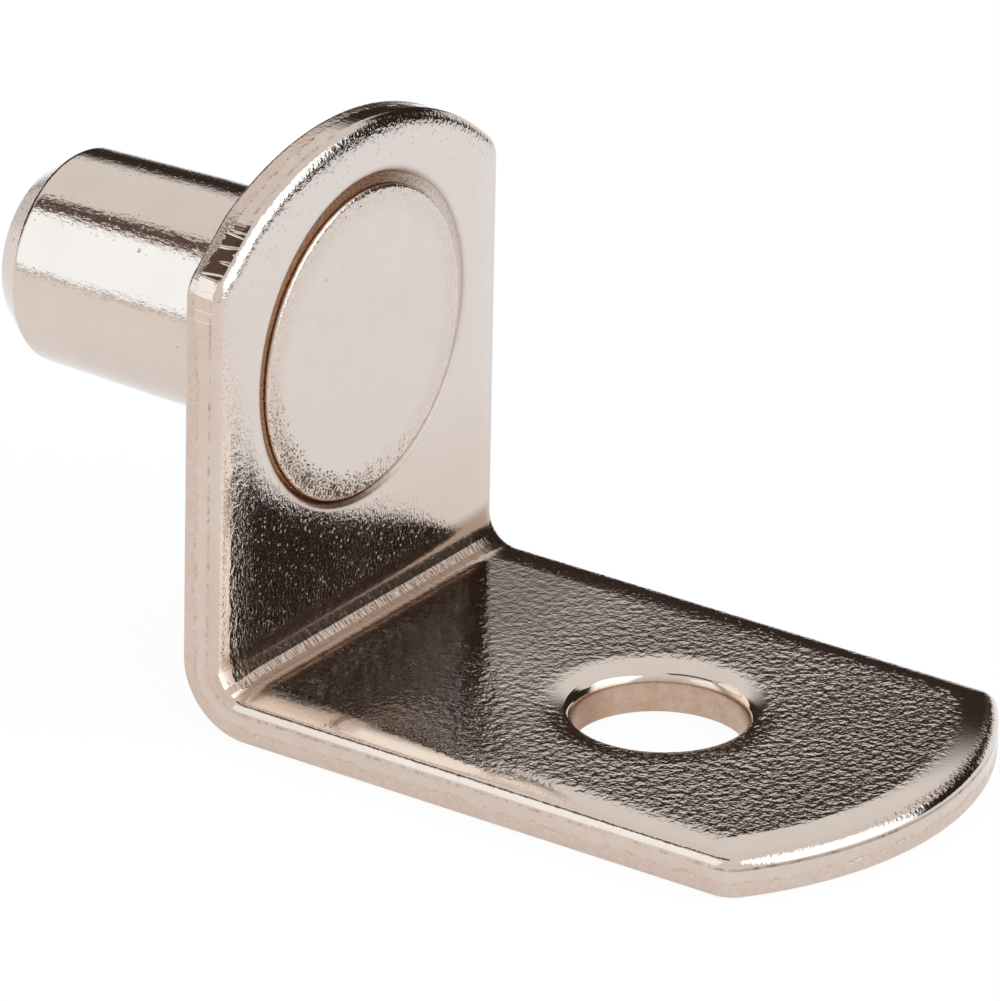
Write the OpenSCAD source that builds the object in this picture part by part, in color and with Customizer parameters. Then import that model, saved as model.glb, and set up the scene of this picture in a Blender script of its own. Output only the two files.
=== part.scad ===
// Angle shelf support: a short strip of sheet steel, blanked with two bowed ends, bent square,
// and carrying a stout pin whose head is flattened into a recess in the upright.
// The pin goes into a hole bored in the side of a cabinet and the shelf lies on the leg.
// Millimetres. The origin is on the pin's axis at the back of the upright: +Y runs along the
// pin into the cabinet's side, the leg reaches out towards -Y, and +Z is up.

/* [Strip] */
// Width of the strip, and so of the upright and the leg
strip_w = 12.5; // [11:0.1:18]
// Thickness of the sheet
sheet_t = 1.22; // [1.1:0.01:1.8]
// Radius inside the bend
bend_r = 0.75; // [0.4:0.05:1.5]

/* [Upright] */
// Height of the pin's axis above the underside of the leg
axis_h = 9.05; // [8.2:0.05:14]
// Height of the upright's two corners above the pin's axis
shoulder_h = 3.4; // [2.5:0.05:6]
// Rise of the bowed top from the corners to its crown
crown_rise = 2.5; // [1.8:0.05:3]

/* [Leg] */
// Reach of the leg's two corners from the back of the upright
leg_reach = 16.95; // [15:0.05:30]
// How far the bowed tip stands out past those corners
tip_rise = 2.25; // [1.2:0.05:3]

/* [Blanked edges] */
// Radius of the four corners, seen square to the sheet
corner_r = 0.85; // [0.5:0.05:1.2]
// Width of the margin that the punch drew down along each edge of the inner face
roll_w = 1.3; // [0.6:0.05:1.6]
// Slope of that margin where it runs into the edge's own round, in degrees
roll_slope = 11; // [6:1:18]
// Radius of the round along the edges of the inner face
edge_r = 0.32; // [0.2:0.02:0.45]
// Radius of the tumbled round along the edges of the outer face
burr_r = 0.16; // [0.08:0.02:0.3]

/* [Screw hole] */
// Diameter of the screw hole in the leg
hole_d = 4.5; // [3:0.1:5.5]
// Reach of the screw hole's centre from the back of the upright
hole_reach = 10.7; // [9:0.05:14]
// Width of the drawn-down margin round the mouth of the hole
hole_roll_w = 1.1; // [0.5:0.05:1.4]
// Radius of the round at the mouth of the hole
hole_edge_r = 0.34; // [0.2:0.02:0.45]
// Radius of the small round under the hole
hole_burr_r = 0.1; // [0.05:0.01:0.2]

/* [Pin] */
// Diameter of the pin
pin_d = 6; // [5:0.05:7]
// Length of the pin, from the back of the upright to its end
pin_len = 8.9; // [7.5:0.05:14]
// Length of the parallel stretch next to the upright
pin_parallel = 4; // [2:0.1:5]
// How much narrower the pin is where its end chamfer starts
pin_draft = 0.2; // [0.1:0.02:0.4]
// Length of the end chamfer
chamfer_len = 0.95; // [0.5:0.05:1.4]
// Depth of the end chamfer, measured on the radius
chamfer_depth = 0.72; // [0.4:0.02:1]
// Radius that blends the chamfer into the pin and into its end face
chamfer_blend_r = 0.3; // [0.1:0.02:0.4]

/* [Rivet head] */
// Diameter of the neck that passes through the upright
neck_d = 4.6; // [3.6:0.1:4.8]
// Diameter of the flattened head
head_d = 8.5; // [7:0.1:9]
// Thickness of the head
head_t = 0.78; // [0.5:0.02:0.9]
// How far the head stands proud of the upright
head_proud = 0.06; // [0.02:0.01:0.2]
// How far the head has spread off the pin's axis, downwards
head_drop = 0.12; // [0:0.01:0.2]
// Width of the eased rim of the head
head_rim_w = 0.7; // [0.4:0.05:1.2]
// Slope of that rim where it runs into its edge, in degrees
head_rim_slope = 7; // [3:1:12]
// Radius of the edge of the head
head_edge_r = 0.12; // [0.06:0.01:0.2]
// Radius of the rounded mouth of the recess round the head
mouth_r = 0.22; // [0.12:0.01:0.4]

/* [Clearances] */
// Narrowest gap between the edge of the head and its recess
head_gap = 0.04; // [0.02:0.01:0.1]
// Gap all round the neck in its hole
neck_gap = 0.03; // [0.02:0.01:0.1]

/* [Hidden] */
$fn = 96;

nickel = [0.82, 0.77, 0.72];
// how far a cutter runs past the metal that it cuts
over = 0.5;

leg_top = sheet_t - axis_h;
bend_y = -(sheet_t + bend_r);
bend_z = leg_top + bend_r;
crown_h = shoulder_h + crown_rise;
tip_reach = leg_reach + tip_rise;
recess_depth = head_t - head_proud;
recess_r = head_d / 2 + head_drop + head_gap;
pin_tip_r = (pin_d - pin_draft) / 2;
pin_end_r = pin_tip_r - chamfer_depth;

// Radius of a bow as wide as the strip that rises by rise
function bow_r(rise) = (pow(strip_w / 2, 2) + rise * rise) / (2 * rise);

// ---- Edge profiles: flat shapes of the metal that an edge loses. x runs in from the cut side and
// ---- y runs in from the sheet's face, both from the sharp edge at [0, 0].

// A plain round
module round_waste(r) {
    difference() {
        translate([-over, -over]) square(over + r);
        translate([r, r]) circle(r = r);
    }
}

// A drawn-down edge: a wide flat arc that leaves the face w in from the edge, and a tight round
// that takes over from it, tangent, at the given slope
module roll_waste(w, slope, r) {
    join_x = r * (1 - sin(slope));
    wide_r = (w - join_x) / sin(slope);
    join_y = wide_r * (1 - cos(slope));
    round_y = join_y + r * cos(slope);
    difference() {
        translate([-over, -over]) square([over + w, over + round_y]);
        translate([r, round_y]) circle(r = r);
        intersection() {
            translate([w, wide_r]) circle(r = wide_r);
            translate([join_x, 0]) square([w, round_y + over]);
        }
    }
}

module strip_edge_waste() {
    roll_waste(roll_w, roll_slope, edge_r);
}

// ---- The bracket. Its straight stretches are drawn flat: x across the strip, y along it away from
// ---- the bend, and the inner face at z = 0 with the sheet below it.

// The strip's cross-section, inner face at y = 0
module strip_section() {
    difference() {
        translate([-strip_w / 2, -sheet_t]) square([strip_w, sheet_t]);
        for (side = [0, 1]) mirror([side, 0]) {
            translate([-strip_w / 2, 0]) mirror([0, 1]) strip_edge_waste();
            translate([-strip_w / 2, -sheet_t]) round_waste(burr_r);
        }
    }
}

module straight(from, to) {
    translate([0, to, 0]) rotate([90, 0, 0]) linear_extrude(to - from) strip_section();
}

module bend() {
    translate([0, bend_y, bend_z]) rotate([0, 90, 0])
        rotate_extrude(angle = 90)
            translate([bend_r, 0]) mirror([1, 0]) mirror([1, -1]) strip_section();
}

// The metal lost outside a bowed end, whose corners are at y = corner_y
module end_waste(corner_y, rise) {
    r = bow_r(rise);
    centre_y = corner_y + rise - r;
    // the corner's round touches the side and the bow
    round_x = strip_w / 2 - corner_r;
    round_y = sqrt(pow(r - corner_r, 2) - pow(round_x, 2));
    turn = atan2(round_y, round_x);
    translate([0, centre_y, 0]) {
        translate([0, 0, -sheet_t - over]) linear_extrude(sheet_t + 2 * over) {
            difference() {
                translate([-strip_w, 0]) square([2 * strip_w, r + over]);
                circle(r = r);
                translate([-strip_w, 0]) square([2 * strip_w, round_y]);
            }
            for (side = [0, 1]) mirror([side, 0]) translate([round_x, round_y]) corner_sliver(turn);
        }
        rolled_ring(r);
        for (side = [0, 1]) mirror([side, 0])
            translate([round_x, round_y, 0]) rotate_extrude(angle = turn) edge_profile(corner_r);
    }
}

// What lies outside a corner's round, between its two tangent points
module corner_sliver(turn) {
    reach = corner_r + over;
    difference() {
        polygon([[0, 0], [reach, 0], [reach, reach * tan(turn / 2)],
                 [reach * cos(turn), reach * sin(turn)]]);
        circle(r = corner_r);
    }
}

// Both edges of the sheet along a cut of radius r, as a flat shape to turn round the cut's centre
module edge_profile(r) {
    intersection() {
        translate([0, -sheet_t - over]) square([r + 2 * over, sheet_t + 2 * over]);
        union() {
            translate([r, 0]) mirror([1, 0]) mirror([0, 1]) strip_edge_waste();
            translate([r, -sheet_t]) mirror([1, 0]) round_waste(burr_r);
        }
    }
}

module rolled_ring(r) {
    rotate_extrude() edge_profile(r);
}

module screw_hole() {
    translate([0, 0, -sheet_t - over]) cylinder(d = hole_d, h = sheet_t + 2 * over);
    rotate_extrude() {
        translate([hole_d / 2, 0]) mirror([0, 1]) roll_waste(hole_roll_w, roll_slope, hole_edge_r);
        translate([hole_d / 2, -sheet_t]) round_waste(hole_burr_r);
    }
}

// The recess that the head is flattened into, and the hole for the neck
module pin_seat() {
    translate([0, 0, -sheet_t - over]) cylinder(d = neck_d + 2 * neck_gap, h = sheet_t + 2 * over);
    translate([0, 0, -recess_depth]) cylinder(r = recess_r, h = recess_depth + over);
    rotate_extrude() translate([recess_r, 0]) mirror([0, 1]) round_waste(mouth_r);
}

module upright() {
    translate([0, -sheet_t, 0]) rotate([90, 0, 0]) difference() {
        straight(bend_z, crown_h + over);
        end_waste(shoulder_h, crown_rise);
        pin_seat();
    }
}

module leg() {
    translate([0, 0, leg_top]) rotate([0, 0, 180]) difference() {
        straight(-bend_y, tip_reach + over);
        end_waste(leg_reach, tip_rise);
        translate([0, hole_reach, 0]) screw_hole();
    }
}

module bracket() {
    color(nickel) {
        upright();
        bend();
        leg();
    }
}

// ---- The pin, turned round its own axis. The flat shapes have x as the radius and y along the pin.

// What a convex corner loses when it is rounded with radius r. p is the corner, and the sides leave
// it in the directions a and b, in degrees, turning left from a to b
module blend_waste(p, a, b, r) {
    half = (b - a) / 2;
    side = r / tan(half);
    middle = a + half;
    translate(p) difference() {
        polygon([side * [cos(a), sin(a)], r / sin(half) * [cos(middle), sin(middle)],
                 side * [cos(b), sin(b)], -over * [cos(middle), sin(middle)]]);
        translate(r / sin(half) * [cos(middle), sin(middle)]) circle(r = r);
    }
}

module shank_section() {
    draft_dir = atan2(pin_parallel - (pin_len - chamfer_len), pin_draft / 2);
    chamfer_dir = atan2(chamfer_len, -chamfer_depth);
    difference() {
        polygon([[0, 0], [pin_d / 2, 0], [pin_d / 2, pin_parallel],
                 [pin_tip_r, pin_len - chamfer_len], [pin_end_r, pin_len], [0, pin_len]]);
        blend_waste([pin_tip_r, pin_len - chamfer_len], chamfer_dir, 360 + draft_dir, chamfer_blend_r);
        blend_waste([pin_end_r, pin_len], 180, 180 + chamfer_dir, chamfer_blend_r);
    }
}

module head_section() {
    difference() {
        square([head_d / 2, head_t]);
        translate([head_d / 2, head_t]) mirror([1, 0]) mirror([0, 1])
            roll_waste(head_rim_w, head_rim_slope, head_edge_r);
    }
}

module pin() {
    color(nickel) {
        rotate([-90, 0, 0]) rotate_extrude() shank_section();
        translate([0, -sheet_t + recess_depth, 0]) rotate([-90, 0, 0])
            cylinder(d = neck_d, h = sheet_t - recess_depth);
        translate([0, -sheet_t + recess_depth, -head_drop]) rotate([90, 0, 0])
            rotate_extrude() head_section();
    }
}

bracket();
pin();
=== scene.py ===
# %% [markdown]
# # A shelf support pin
#
# This lesson dresses a small nickel-plated shelf support: a strip of sheet steel that was
# blanked with two bowed ends and bent square, and a stout pin whose head is flattened into
# a recess in the upright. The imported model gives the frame: where each part is and how big
# it is. Blender gives the finish.
#
# The first lines load that frame. Its parts are never moved or reshaped here.

# %% Load the frame
import math

import bpy
from mathutils import Matrix, Vector


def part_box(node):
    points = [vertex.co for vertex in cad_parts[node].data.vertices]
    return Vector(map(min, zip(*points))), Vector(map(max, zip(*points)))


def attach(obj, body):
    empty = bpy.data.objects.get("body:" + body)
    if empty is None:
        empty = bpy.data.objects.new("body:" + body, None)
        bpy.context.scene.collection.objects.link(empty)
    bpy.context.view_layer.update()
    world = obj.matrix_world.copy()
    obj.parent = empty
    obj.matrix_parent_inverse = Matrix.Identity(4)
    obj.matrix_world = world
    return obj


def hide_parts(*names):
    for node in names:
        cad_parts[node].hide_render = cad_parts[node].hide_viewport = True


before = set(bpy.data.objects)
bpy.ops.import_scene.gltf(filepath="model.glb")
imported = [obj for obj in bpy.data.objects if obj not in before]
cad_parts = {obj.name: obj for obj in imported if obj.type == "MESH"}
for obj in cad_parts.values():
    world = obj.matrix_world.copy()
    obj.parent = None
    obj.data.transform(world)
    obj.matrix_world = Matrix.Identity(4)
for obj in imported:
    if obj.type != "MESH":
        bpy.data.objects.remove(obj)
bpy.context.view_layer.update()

print("parts in the frame:", sorted(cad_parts))

# %% [markdown]
# ## Camera
#
# A part this small is best seen through a long lens from close by, which keeps its edges
# nearly parallel. The camera could be aimed with a Track To constraint. Here its three axes
# are worked out from an azimuth, an elevation and a small roll, so that the angle can be
# read off the script and set again exactly.

# %% Camera
MM = 0.001
CAMERA_AZIMUTH = math.radians(-55.601)
CAMERA_ELEVATION = math.radians(24.291)
CAMERA_ROLL = math.radians(1.134)
CAMERA_DISTANCE = 279.67 * MM
CAMERA_TARGET = Vector((0, -7, -4)) * MM
CAMERA_SLIDE = (-1.149 * MM, 0.898 * MM)
CAMERA_LENS = 391.2
CLIP_START = 0.01


def camera_axes(azimuth, elevation, roll):
    """The camera's right, up and backward directions."""
    back = Vector((
        math.sin(azimuth) * math.cos(elevation),
        -math.cos(azimuth) * math.cos(elevation),
        math.sin(elevation),
    ))
    level = Vector((0, 0, 1)).cross(back).normalized()
    upward = back.cross(level)
    right = level * math.cos(roll) + upward * math.sin(roll)
    return right, back.cross(right), back


right, up, back = camera_axes(CAMERA_AZIMUTH, CAMERA_ELEVATION, CAMERA_ROLL)
camera = bpy.data.objects.new("camera", bpy.data.cameras.new("camera"))
bpy.context.scene.collection.objects.link(camera)
camera.data.lens = CAMERA_LENS
camera.data.clip_start = CLIP_START
camera_place = CAMERA_TARGET + back * CAMERA_DISTANCE + right * CAMERA_SLIDE[0] + up * CAMERA_SLIDE[1]
camera.matrix_world = Matrix.Translation(camera_place) @ Matrix((right, up, back)).transposed().to_4x4()
bpy.context.scene.camera = camera
bpy.context.scene.view_settings.view_transform = "Standard"
print("camera stands at", tuple(round(c, 4) for c in camera_place))

# %% [markdown]
# ## Helpers for materials
#
# A material is a tree of nodes. It could be wired socket by socket in the editor. These
# helpers add a node and link it in one call, so that a tree reads like a sum.

# %% Nodes and links
NODE_STEP = 200


def feed(output, socket):
    """Links an output to an input of the same tree."""
    output.id_data.links.new(output, socket)


def add_node(tree, kind, inputs=None, **settings):
    """Adds a shader node. inputs gives its sockets, by name or number, a value or an output."""
    node = tree.nodes.new("ShaderNode" + kind)
    node.location = (NODE_STEP * len(tree.nodes), 0)
    for name, value in settings.items():
        setattr(node, name, value)
    for socket, value in (inputs or {}).items():
        if isinstance(value, bpy.types.NodeSocket):
            feed(value, node.inputs[socket])
        else:
            node.inputs[socket].default_value = value
    return node


def follow(kind, inputs, **settings):
    """Adds a node to the tree of the outputs that feed it. Returns its own outputs."""
    tree = next(value.id_data for value in inputs.values() if isinstance(value, bpy.types.NodeSocket))
    return add_node(tree, kind, inputs, **settings).outputs


# %% Sums, blends and distances


def calculate(operation, *values):
    """A Math node's output. Each value is a number or an output."""
    return follow("Math", dict(enumerate(values)), operation=operation)[0]


def blend_values(share, low, high):
    """low where share is 0, high where it is 1."""
    return follow("Mix", {0: share, 2: low, 3: high}, data_type="FLOAT")[0]


def mix_colour(share, low, high):
    return follow("Mix", {0: share, 6: low, 7: high}, data_type="RGBA")[2]


def ease(value, low, high):
    """0 at low, 1 at high, and a soft step between. low may be the larger one."""
    ends = {"Value": value, "From Min": low, "From Max": high}
    return follow("MapRange", ends, interpolation_type="SMOOTHSTEP")[0]


def split(vector):
    """A vector's three axes: X, Y and Z."""
    return follow("SeparateXYZ", {0: vector})


def distance_from(vector, spot):
    return follow("VectorMath", {0: vector, 1: spot}, operation="DISTANCE")["Value"]


# %% Trees


def seen_by(tree):
    """Two masks: seen by the camera itself, and seen in the metal."""
    ray = add_node(tree, "LightPath").outputs
    return ray["Is Camera Ray"], calculate("MAXIMUM", ray["Is Glossy Ray"], ray["Is Transmission Ray"])


def new_material(name):
    """A material and its tree."""
    material = bpy.data.materials.new(name)
    material.use_nodes = True
    return material, material.node_tree


def object_place(tree):
    return add_node(tree, "TexCoord").outputs["Object"]


def show_blend(tree, share, low, high):
    """Shows one shader where share is 0 and the other where it is 1."""
    both = add_node(tree, "MixShader", {0: share, 1: low.outputs[0], 2: high.outputs[0]})
    feed(both.outputs[0], tree.nodes["Material Output"].inputs["Surface"])


# %% [markdown]
# ## Studio
#
# Polished metal has hardly any colour of its own: it shows the room. So the room is built
# first. It is a white tent with a small pale table. One large soft lamp stands behind the
# part on the left and one in front of it on the right. Dark cards stand low round the table
# and give the metal its dark lines. The cards are seen only in reflections.
#
# The tent could be a dome of mesh. A plain world does the same with no surface to place.

# %% The white tent
TENT_SEEN = 1.0
TENT_IN_METAL = 0.92
TENT_LIGHT = 0.85
WHITE = (1, 1, 1, 1)

world = bpy.data.worlds.new("tent")
bpy.context.scene.world = world
world.use_nodes = True
by_camera, in_metal = seen_by(world.node_tree)
level = blend_values(in_metal, TENT_LIGHT, TENT_IN_METAL)
level = blend_values(by_camera, level, TENT_SEEN)
background = world.node_tree.nodes["Background"].inputs
feed(level, background["Strength"])
background["Color"].default_value = WHITE
print("tent: seen at", TENT_SEEN, "and in the metal at", TENT_IN_METAL)

# %% [markdown]
# ## Table
#
# The table is a pale disc a hair below the leg's underside. Part of its brightness is
# its own, for the camera and for the metal, so that it stays white without more light on
# the part. The rest is ordinary paint, which keeps the part's shadow. It stands off centre,
# so that its near edge makes a low horizon in the upright's front. In the metal it is a
# little warmer on the left, where the key lamp's light comes back from it, and its far edge
# is grey, which draws a thin line along the pin under the lamp's reflection.

# %% Table
LEG_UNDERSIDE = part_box("bracket")[0].z
TABLE_DROP = 5e-6
TABLE_R = 0.14
TABLE_CENTRE = (-0.049, 0.034)
TABLE_PAINT = (0.86, 0.86, 0.86, 1)
TABLE_ROUGH = 0.8
GLOW_SEEN = 0.9
GLOW_IN_METAL = 0.6
GLOW_LEVELS = (1.02, 1.12)
SIDES_MEET = 0.03
WARM_SIDE = (0.96, 0.91, 0.88, 1)
COOL_SIDE = (1, 1.06, 1.14, 1)
FAR_EDGE = (0.3, 0.26, 0.24, 1)
FAR_EDGE_AT = (0.1, 0.13)

bpy.ops.object.select_all(action="DESELECT")
bpy.ops.mesh.primitive_circle_add(
    vertices=128, radius=TABLE_R, fill_type="NGON", location=(*TABLE_CENTRE, LEG_UNDERSIDE - TABLE_DROP)
)
table = bpy.context.object
table.name = "table"
paint, tree = new_material("pale_table")
coat = tree.nodes["Principled BSDF"]
coat.inputs["Base Color"].default_value = TABLE_PAINT
coat.inputs["Roughness"].default_value = TABLE_ROUGH
by_camera, in_metal = seen_by(tree)
share = blend_values(by_camera, calculate("MULTIPLY", in_metal, GLOW_IN_METAL), GLOW_SEEN)
strength = blend_values(in_metal, *GLOW_LEVELS)
place = object_place(tree)
middle = -TABLE_CENTRE[0]
side = {"Value": split(place)["X"], "From Min": middle - SIDES_MEET, "From Max": middle + SIDES_MEET}
tint = mix_colour(follow("MapRange", side)[0], WARM_SIDE, COOL_SIDE)
from_part = distance_from(place, (middle, -TABLE_CENTRE[1], 0))
tint = mix_colour(ease(from_part, *FAR_EDGE_AT), tint, FAR_EDGE)
tint = mix_colour(in_metal, WHITE, tint)
glow = add_node(tree, "Emission", {"Color": tint, "Strength": strength})
show_blend(tree, share, coat, glow)
table.data.materials.append(paint)
print("table top at", round(LEG_UNDERSIDE, 5))

# %% [markdown]
# ## Cards
#
# A card is a strip of dark board that curves round the table. It could be a piece of a
# cylinder primitive. Drawn with a pen, it starts and ends at the angles it is given: the
# pen is one vertex, which Extrude pulls along a line and Spin sweeps along an arc. A card's
# upper and lower edges fade, so that the metal shows no hard line there.

# %% Pen


def mode(name):
    bpy.ops.object.mode_set(mode=name)


def take_all():
    """Selects the whole mesh, in edit mode."""
    bpy.ops.mesh.select_all(action="SELECT")


def drop_pen(name, place):
    """A new mesh that is one selected vertex, in edit mode."""
    bpy.ops.object.select_all(action="DESELECT")
    bpy.ops.mesh.primitive_plane_add(size=1, location=place)
    piece = bpy.context.object
    piece.name = name
    bpy.ops.object.transform_apply(location=True, rotation=False, scale=False)
    mode("EDIT")
    take_all()
    bpy.ops.mesh.select_mode(type="VERT")
    bpy.ops.mesh.merge(type="CENTER")
    return piece


def draw_line(x=0, y=0, z=0):
    bpy.ops.mesh.extrude_region_move(TRANSFORM_OT_translate={"value": (x, y, z)})


def draw_arc(centre, angle, steps):
    bpy.ops.mesh.spin(steps=steps, angle=-angle, center=centre, axis=(0, 0, 1))


# %% Dark cards
CARD_R = 0.6
CARD_SOFT = (0.125, 0.09, 0.078, 1)
CARD_WARM = (0.04, 0.027, 0.022, 1)
CARD_DARK = (0.032, 0.022, 0.018, 1)


def card_material(name, colour, low, high, low_fade, high_fade, axis="Z"):
    """Dark card, as bright as a dim wall, that fades out below low and above high."""
    material, tree = new_material(name)
    height = split(object_place(tree))[axis]
    rise = ease(height, low - low_fade, low + low_fade)
    fall = ease(height, high + high_fade, high - high_fade)
    card = add_node(tree, "Emission", {"Color": colour})
    gap = add_node(tree, "BsdfTransparent")
    show_blend(tree, calculate("MULTIPLY", rise, fall), gap, card)
    return material


def hang(card, material):
    """A card is seen only in the metal."""
    card.data.materials.append(material)
    card.visible_camera = False
    card.visible_diffuse = False
    card.visible_shadow = False
    print(card.name, "has", len(card.data.polygons), "faces")


def curved_card(name, colour, start, end, low, high, fade):
    """A card round the table from start to end and low to high, all in degrees."""
    foot, top, hard, soft = (CARD_R * math.tan(math.radians(a)) for a in (low, high, 1, fade))
    turn = math.radians(start)
    card = drop_pen(name, (CARD_R * math.cos(turn), CARD_R * math.sin(turn), foot - hard))
    draw_line(z=top - foot + hard + soft)
    take_all()
    draw_arc((0, 0, 0), math.radians(end - start), int(end - start))
    mode("OBJECT")
    hang(card, card_material(name, colour, foot, top, hard, soft))


# name, colour, start, end, low, high, fade
for card in (
    ("card_right", CARD_WARM, 16, 100, -1, 26.1, 7),
    ("card_right_foot", CARD_WARM, 22, 58, -20, 0, 1),
    ("card_middle", CARD_DARK, -12, 16, 8, 37, 4),
    ("card_front_right", CARD_DARK, -52, -12, -20, 34, 4),
    ("card_left", CARD_SOFT, 168, 312, -20, -3, 1),
):
    curved_card(*card)

# %% Dark strip overhead
STRIP_TURN = math.radians(110)
STRIP_HALF = 0.075
STRIP_FADE = 0.03
STRIP_SCALE = (0.13, 0.45, 1)
STRIP_Y = 0.4
bpy.ops.object.select_all(action="DESELECT")
bpy.ops.mesh.primitive_plane_add(size=2)
strip = bpy.context.object
strip.name = "card_strip"
strip.scale = STRIP_SCALE
strip.location = (CARD_R * math.cos(STRIP_TURN), STRIP_Y, CARD_R * math.sin(STRIP_TURN))
strip.rotation_euler = (0, math.pi / 2 - STRIP_TURN, 0)
bpy.ops.object.transform_apply(location=False, rotation=False, scale=True)
hang(strip, card_material("card_strip", CARD_SOFT, -STRIP_HALF, STRIP_HALF, STRIP_FADE, STRIP_FADE, "X"))

# %% Lamps
KEY_LEVEL = 0.55
KEY_COLOUR = (0.72, 1.0, 1.21)
FRONT_LEVEL = 1.1
FRONT_COLOUR = (0.8, 1.0, 1.15)
LAMP_DISTANCE = 0.5


def soft_box(name, turn, height, size, level, colour):
    """An area lamp that faces the part from a turn and a height in degrees.

    Its level adds to the tent behind it in the metal.
    """
    lamp = bpy.data.lights.new(name, "AREA")
    lamp.shape = "RECTANGLE"
    lamp.size, lamp.size_y = size
    lamp.energy = level * math.pi * size[0] * size[1]
    lamp.color = colour
    box = bpy.data.objects.new(name, lamp)
    bpy.context.scene.collection.objects.link(box)
    turn, height = math.radians(turn), math.radians(height)
    towards = Vector((math.cos(height) * math.cos(turn), math.cos(height) * math.sin(turn), math.sin(height)))
    box.location = towards * LAMP_DISTANCE
    box.rotation_euler = towards.to_track_quat("Z", "Y").to_euler()
    box.visible_camera = False
    return box


key = soft_box("key_lamp", turn=142, height=22, size=(0.46, 0.43), level=KEY_LEVEL, colour=KEY_COLOUR)
front = soft_box("front_lamp", turn=-78, height=28, size=(0.58, 0.58), level=FRONT_LEVEL, colour=FRONT_COLOUR)
print("lamps:", key.name, front.name)

# %% [markdown]
# ## Bracket: sizes
#
# The real bracket is blanked from strip with a punch and die. The die draws one edge of the
# cut down into a soft slope, and leaves the other edge almost sharp. Then the blank is bent
# square over a small radius, with the soft edge on the leg's top and the upright's front.
#
# The lesson makes it the same way: a flat blank first, and the bend last, all of it in
# millimetres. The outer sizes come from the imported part. The rest are the toolmaker's radii.

# %% Bracket sizes
bracket_low, bracket_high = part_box("bracket")
STRIP_W = (bracket_high.x - bracket_low.x) / MM
TIP_REACH = -bracket_low.y / MM
AXIS_H = -bracket_low.z / MM
CROWN_H = bracket_high.z / MM
SHEET_T = 1.22
BEND_R = 0.75
TIP_RISE = 2.25
CROWN_RISE = 2.5
CORNER_R = 0.85
LEG_TOP = SHEET_T - AXIS_H
BEND_Y = -(SHEET_T + BEND_R)
BEND_Z = LEG_TOP + BEND_R
BEND_LEN = BEND_R * math.pi / 2
# where the pin's axis lies on the blank
AXIS_Y = BEND_Y + BEND_LEN - BEND_Z
print("strip", round(STRIP_W, 3), "wide; flat blank", round(TIP_REACH + AXIS_Y + CROWN_H, 2), "long")

# %% [markdown]
# ## Bracket: outline
#
# An outline of arcs and straight lines could be a curve object. Here half of it is drawn with
# the pen, so that every arc has an exact centre, and a Mirror modifier makes the other half.

# %% Arcs of a bowed end


def end_arcs(rise):
    """A bow's radius, where its corner's centre lies, and how far the corner turns."""
    r = ((STRIP_W / 2) ** 2 + rise**2) / (2 * rise)
    x = STRIP_W / 2 - CORNER_R
    y = math.sqrt((r - CORNER_R) ** 2 - x * x)
    return r, x, y, math.atan2(y, x)


BOW_STEPS = 22
CORNER_STEPS = 8
tip_r, corner_x, tip_corner, tip_turn = end_arcs(TIP_RISE)
crown_r, corner_x, crown_corner, crown_turn = end_arcs(CROWN_RISE)
tip_centre = -TIP_REACH + tip_r
crown_centre = AXIS_Y + CROWN_H - crown_r
print("bows: tip", round(tip_r, 2), "crown", round(crown_r, 2), "mm radius")

# %% [markdown]
# ## Bracket: edge profiles
#
# Each edge is described as a short list of steps: how far in from the cut side, and how far
# down from the face. The soft edge is a tight round that runs into a wide flat arc, and the
# other edge is a plain small round. Inset follows such a list round any outline, and Spin
# turns it round a hole, so that all the edges get the same section.

# %% Profiles
ROLL_W = 1.3
ROLL_SLOPE = math.radians(11)
EDGE_R = 0.32
BURR_R = 0.16
GUARD = 0.02
ROLL_LEFT = 0.08
WELD = 1e-4


def wide_arc(width, slope, r):
    """Radius of the flat arc that meets a tight round at the given slope."""
    return (width - r * (1 - math.sin(slope))) / math.sin(slope)


def roll_profile(width, slope, r, steps, end):
    """Points (inset, drop) up a drawn-down edge, as far in as end, a little short of the flat."""
    wide = wide_arc(width, slope, r)
    round_y = wide * (1 - math.cos(slope)) + r * math.cos(slope)
    tight = [(math.pi / 2 - slope) * i / steps for i in range(steps + 1)]
    points = [(r - r * math.cos(a), round_y - r * math.sin(a)) for a in tight]
    last = math.asin((width - end) / wide)
    flat = [slope + (last - slope) * i / steps for i in range(1, steps + 1)]
    return points + [(width - wide * math.sin(a), wide * (1 - math.cos(a))) for a in flat]


def round_profile(r, steps):
    turns = [math.pi / 2 * i / steps for i in range(steps + 1)]
    return [(r - r * math.cos(a), r - r * math.sin(a)) for a in turns]


edge_line = roll_profile(ROLL_W, ROLL_SLOPE, EDGE_R, steps=10, end=ROLL_W - ROLL_LEFT)
burr_line = round_profile(BURR_R, steps=5)
print("soft edge drops", round(edge_line[0][1], 3), "mm in", len(edge_line), "points")

# %% Flat outline


def face_out():
    bpy.ops.mesh.normals_make_consistent(inside=False)


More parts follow.
